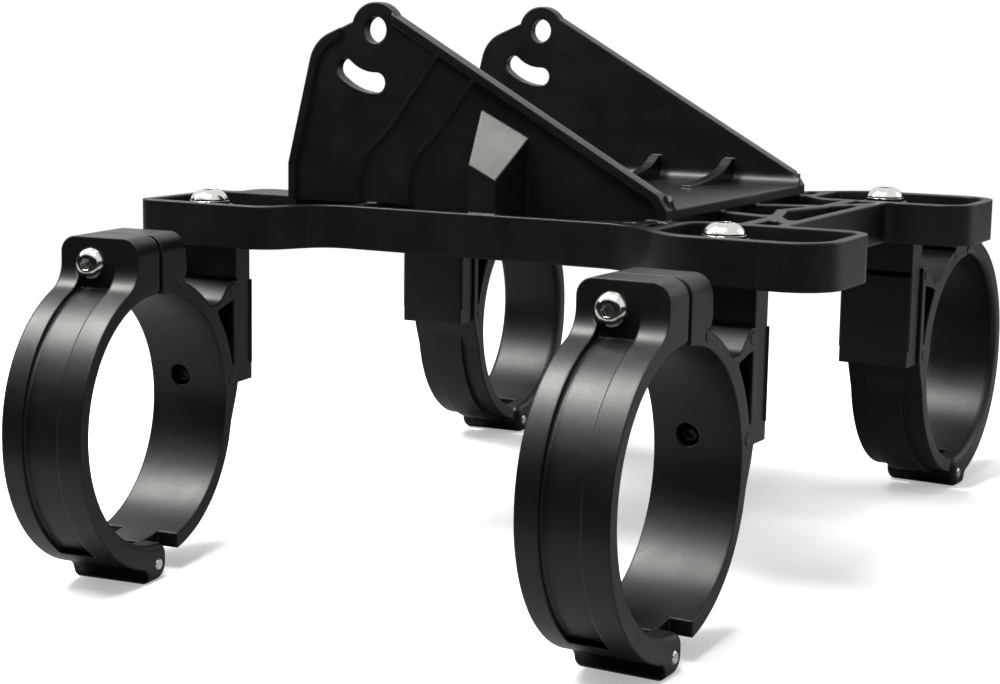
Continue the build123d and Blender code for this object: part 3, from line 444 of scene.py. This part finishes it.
def area_lamp(name, direction, distance, size, power, colour):
    """A soft box in a direction from the bracket's middle, turned towards it."""
    low, high = CAD_BOX
    middle = (low + high) / 2
    data = bpy.data.lights.new(name, "AREA")
    data.shape = "RECTANGLE"
    data.size, data.size_y = size
    data.energy = power
    data.color = colour
    lamp = bpy.data.objects.new(name, data)
    bpy.context.scene.collection.objects.link(lamp)
    away = Vector(direction).normalized()
    lamp.location = middle + away * distance
    lamp.rotation_mode = "QUATERNION"
    lamp.rotation_quaternion = away.to_track_quat("Z", "Y")


def card_corners(start, end):
    """The four corners of a flat card that lies along two of the axes."""
    if start[2] == end[2]:
        return [start, (end[0], start[1], start[2]), end, (start[0], end[1], start[2])]
    return [start, (end[0], end[1], start[2]), end, (start[0], start[1], end[2])]


class OBJECT_OT_bracket_stage(bpy.types.Operator):
    """Makes the floor, the soft studio light, the white surroundings and the camera"""

    bl_idname = "object.bracket_stage"
    bl_label = "Set the stage"

    def execute(self, context):
        scene = context.scene
        stage = scene.bracket_stage
        scene.view_settings.view_transform = "Standard"
        self.make_floor(scene, stage)
        self.make_world(scene, stage)
        for name, (direction, distance, size, power, colour) in LAMPS.items():
            area_lamp(name, direction, distance, size, power, colour)
        self.make_cards()
        self.make_camera(scene, stage)
        return {"FINISHED"}

    @staticmethod
    def make_floor(scene, stage):
        """A wide pale floor under the clamps that shows white and keeps the shadow."""
        mesh = bpy.data.meshes.new("floor")
        reach = FLOOR_REACH
        corners = [(-reach, -reach, 0), (reach, -reach, 0), (reach, reach, 0), (-reach, reach, 0)]
        mesh.from_pydata(corners, [], [(0, 1, 2, 3)])
        floor = bpy.data.objects.new("floor", mesh)
        scene.collection.objects.link(floor)
        material, board = new_material("pale_floor")
        diffuse = board.add("ShaderNodeBsdfDiffuse", {"Color": (*stage.floor_colour, 1.0)})
        shown = shown_rays(board)
        glow_level = join(board, shown, stage.floor_glow, "MULTIPLY")
        glow = board.add("ShaderNodeEmission", {"Strength": glow_level})
        near = board.add("ShaderNodeAddShader", {0: diffuse.outputs["BSDF"], 1: glow.outputs["Emission"]})
        place = board.add("ShaderNodeNewGeometry").outputs["Position"]
        distance = board.add("ShaderNodeVectorMath", {0: place}, operation="LENGTH").outputs["Value"]
        fade = board.add(
            "ShaderNodeMapRange",
            {"Value": distance, "From Min": stage.shadow_reach, "From Max": FADE_END * stage.shadow_reach},
            interpolation_type="SMOOTHSTEP",
        )
        share = join(board, shown, fade.outputs["Result"], "MULTIPLY")
        white = board.add("ShaderNodeEmission", {"Strength": 1.0})
        both = board.add(
            "ShaderNodeMixShader",
            {"Fac": share, 1: near.outputs["Shader"], 2: white.outputs["Emission"]},
        )
        board.add("ShaderNodeOutputMaterial", {"Surface": both.outputs["Shader"]})
        mesh.materials.append(material)

    @staticmethod
    def make_cards():
        """Dark and grey studio cards around the bracket, seen in its gloss only."""
        cloths = {}
        for name, level in CLOTHS.items():
            cloths[name], board = new_material(name)
            cloth = board.add("ShaderNodeBsdfDiffuse", {"Color": (level, level, level, 1.0)})
            board.add("ShaderNodeOutputMaterial", {"Surface": cloth.outputs["BSDF"]})
        for name, (cloth, start, end) in CARDS.items():
            mesh = bpy.data.meshes.new(name)
            mesh.from_pydata(card_corners(start, end), [], [(0, 1, 2, 3)])
            mesh.materials.append(cloths[cloth])
            card = bpy.data.objects.new(name, mesh)
            bpy.context.scene.collection.objects.link(card)
            card.visible_camera = False
            card.visible_diffuse = False
            card.visible_transmission = False
            card.visible_shadow = False

    @staticmethod
    def make_world(scene, stage):
        """White for the eye and for reflections, softer for the light that it casts."""
        world = bpy.data.worlds.new("studio")
        world.use_nodes = True
        scene.world = world
        board = NodeBoard(world.node_tree)
        level = spread(board, shown_rays(board), 0.0, 1.0, stage.world_light, 1.0)
        sky = board.add("ShaderNodeBackground", {"Color": (*WHITE, 1.0), "Strength": level})
        board.add("ShaderNodeOutputWorld", {"Surface": sky.outputs["Background"]})

    @staticmethod
    def make_camera(scene, stage):
        """The camera at the photograph's viewing angle."""
        data = bpy.data.cameras.new("camera")
        data.sensor_width = SENSOR_WIDTH_MM
        data.lens = stage.lens
        data.shift_x, data.shift_y = stage.shift
        data.clip_start, data.clip_end = CLIP_START, CLIP_END
        camera = bpy.data.objects.new("camera", data)
        scene.collection.objects.link(camera)
        az, el, roll = stage.azimuth, stage.elevation, stage.roll
        back = Vector((math.sin(az) * math.cos(el), -math.cos(az) * math.cos(el), math.sin(el)))
        right = Vector((math.cos(az), math.sin(az), 0.0))
        up = back.cross(right)
        tilted_right = right * math.cos(roll) + up * math.sin(roll)
        tilted_up = up * math.cos(roll) - right * math.sin(roll)
        turn = Matrix((tilted_right, tilted_up, back)).transposed().to_4x4()
        camera.matrix_world = Matrix.Translation(Vector(stage.eye)) @ turn
        scene.camera = camera


class VIEW3D_PT_bracket(bpy.types.Panel):
    """Lists the bracket's operators and sizes."""

    bl_idname = "VIEW3D_PT_bracket"
    bl_label = "Fork bracket"
    bl_space_type = "VIEW_3D"
    bl_region_type = "UI"
    bl_category = "Fork Bracket"

    def draw(self, context):
        layout = self.layout
        for operator in OPERATORS:
            layout.operator(operator.bl_idname)
        for group in (context.scene.bracket_looks, context.scene.bracket_stage):
            box = layout.box()
            for name in group.bl_rna.properties.keys():
                if name not in ("rna_type", "name"):
                    box.prop(group, name)


OPERATORS = (
    OBJECT_OT_finish_mouldings,
    OBJECT_OT_finish_bright_steel,
    OBJECT_OT_finish_leg_bolts,
    OBJECT_OT_finish_inserts,
    OBJECT_OT_ejector_marks,
    OBJECT_OT_bracket_stage,
)
CLASSES = (BracketLooks, StageLooks, *OPERATORS, VIEW3D_PT_bracket)


def register():
    """Makes the classes and their settings known to Blender."""
    for cls in CLASSES:
        bpy.utils.register_class(cls)
    bpy.types.Scene.bracket_looks = bpy.props.PointerProperty(type=BracketLooks)
    bpy.types.Scene.bracket_stage = bpy.props.PointerProperty(type=StageLooks)


def unregister():
    """Takes them away again."""
    del bpy.types.Scene.bracket_stage
    del bpy.types.Scene.bracket_looks
    for cls in reversed(CLASSES):
        bpy.utils.unregister_class(cls)


def main():
    """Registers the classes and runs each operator."""
    register()
    bpy.ops.object.finish_mouldings()
    bpy.ops.object.finish_bright_steel()
    bpy.ops.object.finish_leg_bolts()
    bpy.ops.object.finish_inserts()
    bpy.ops.object.ejector_marks()
    bpy.ops.object.bracket_stage()


if __name__ == "__main__":
    main()
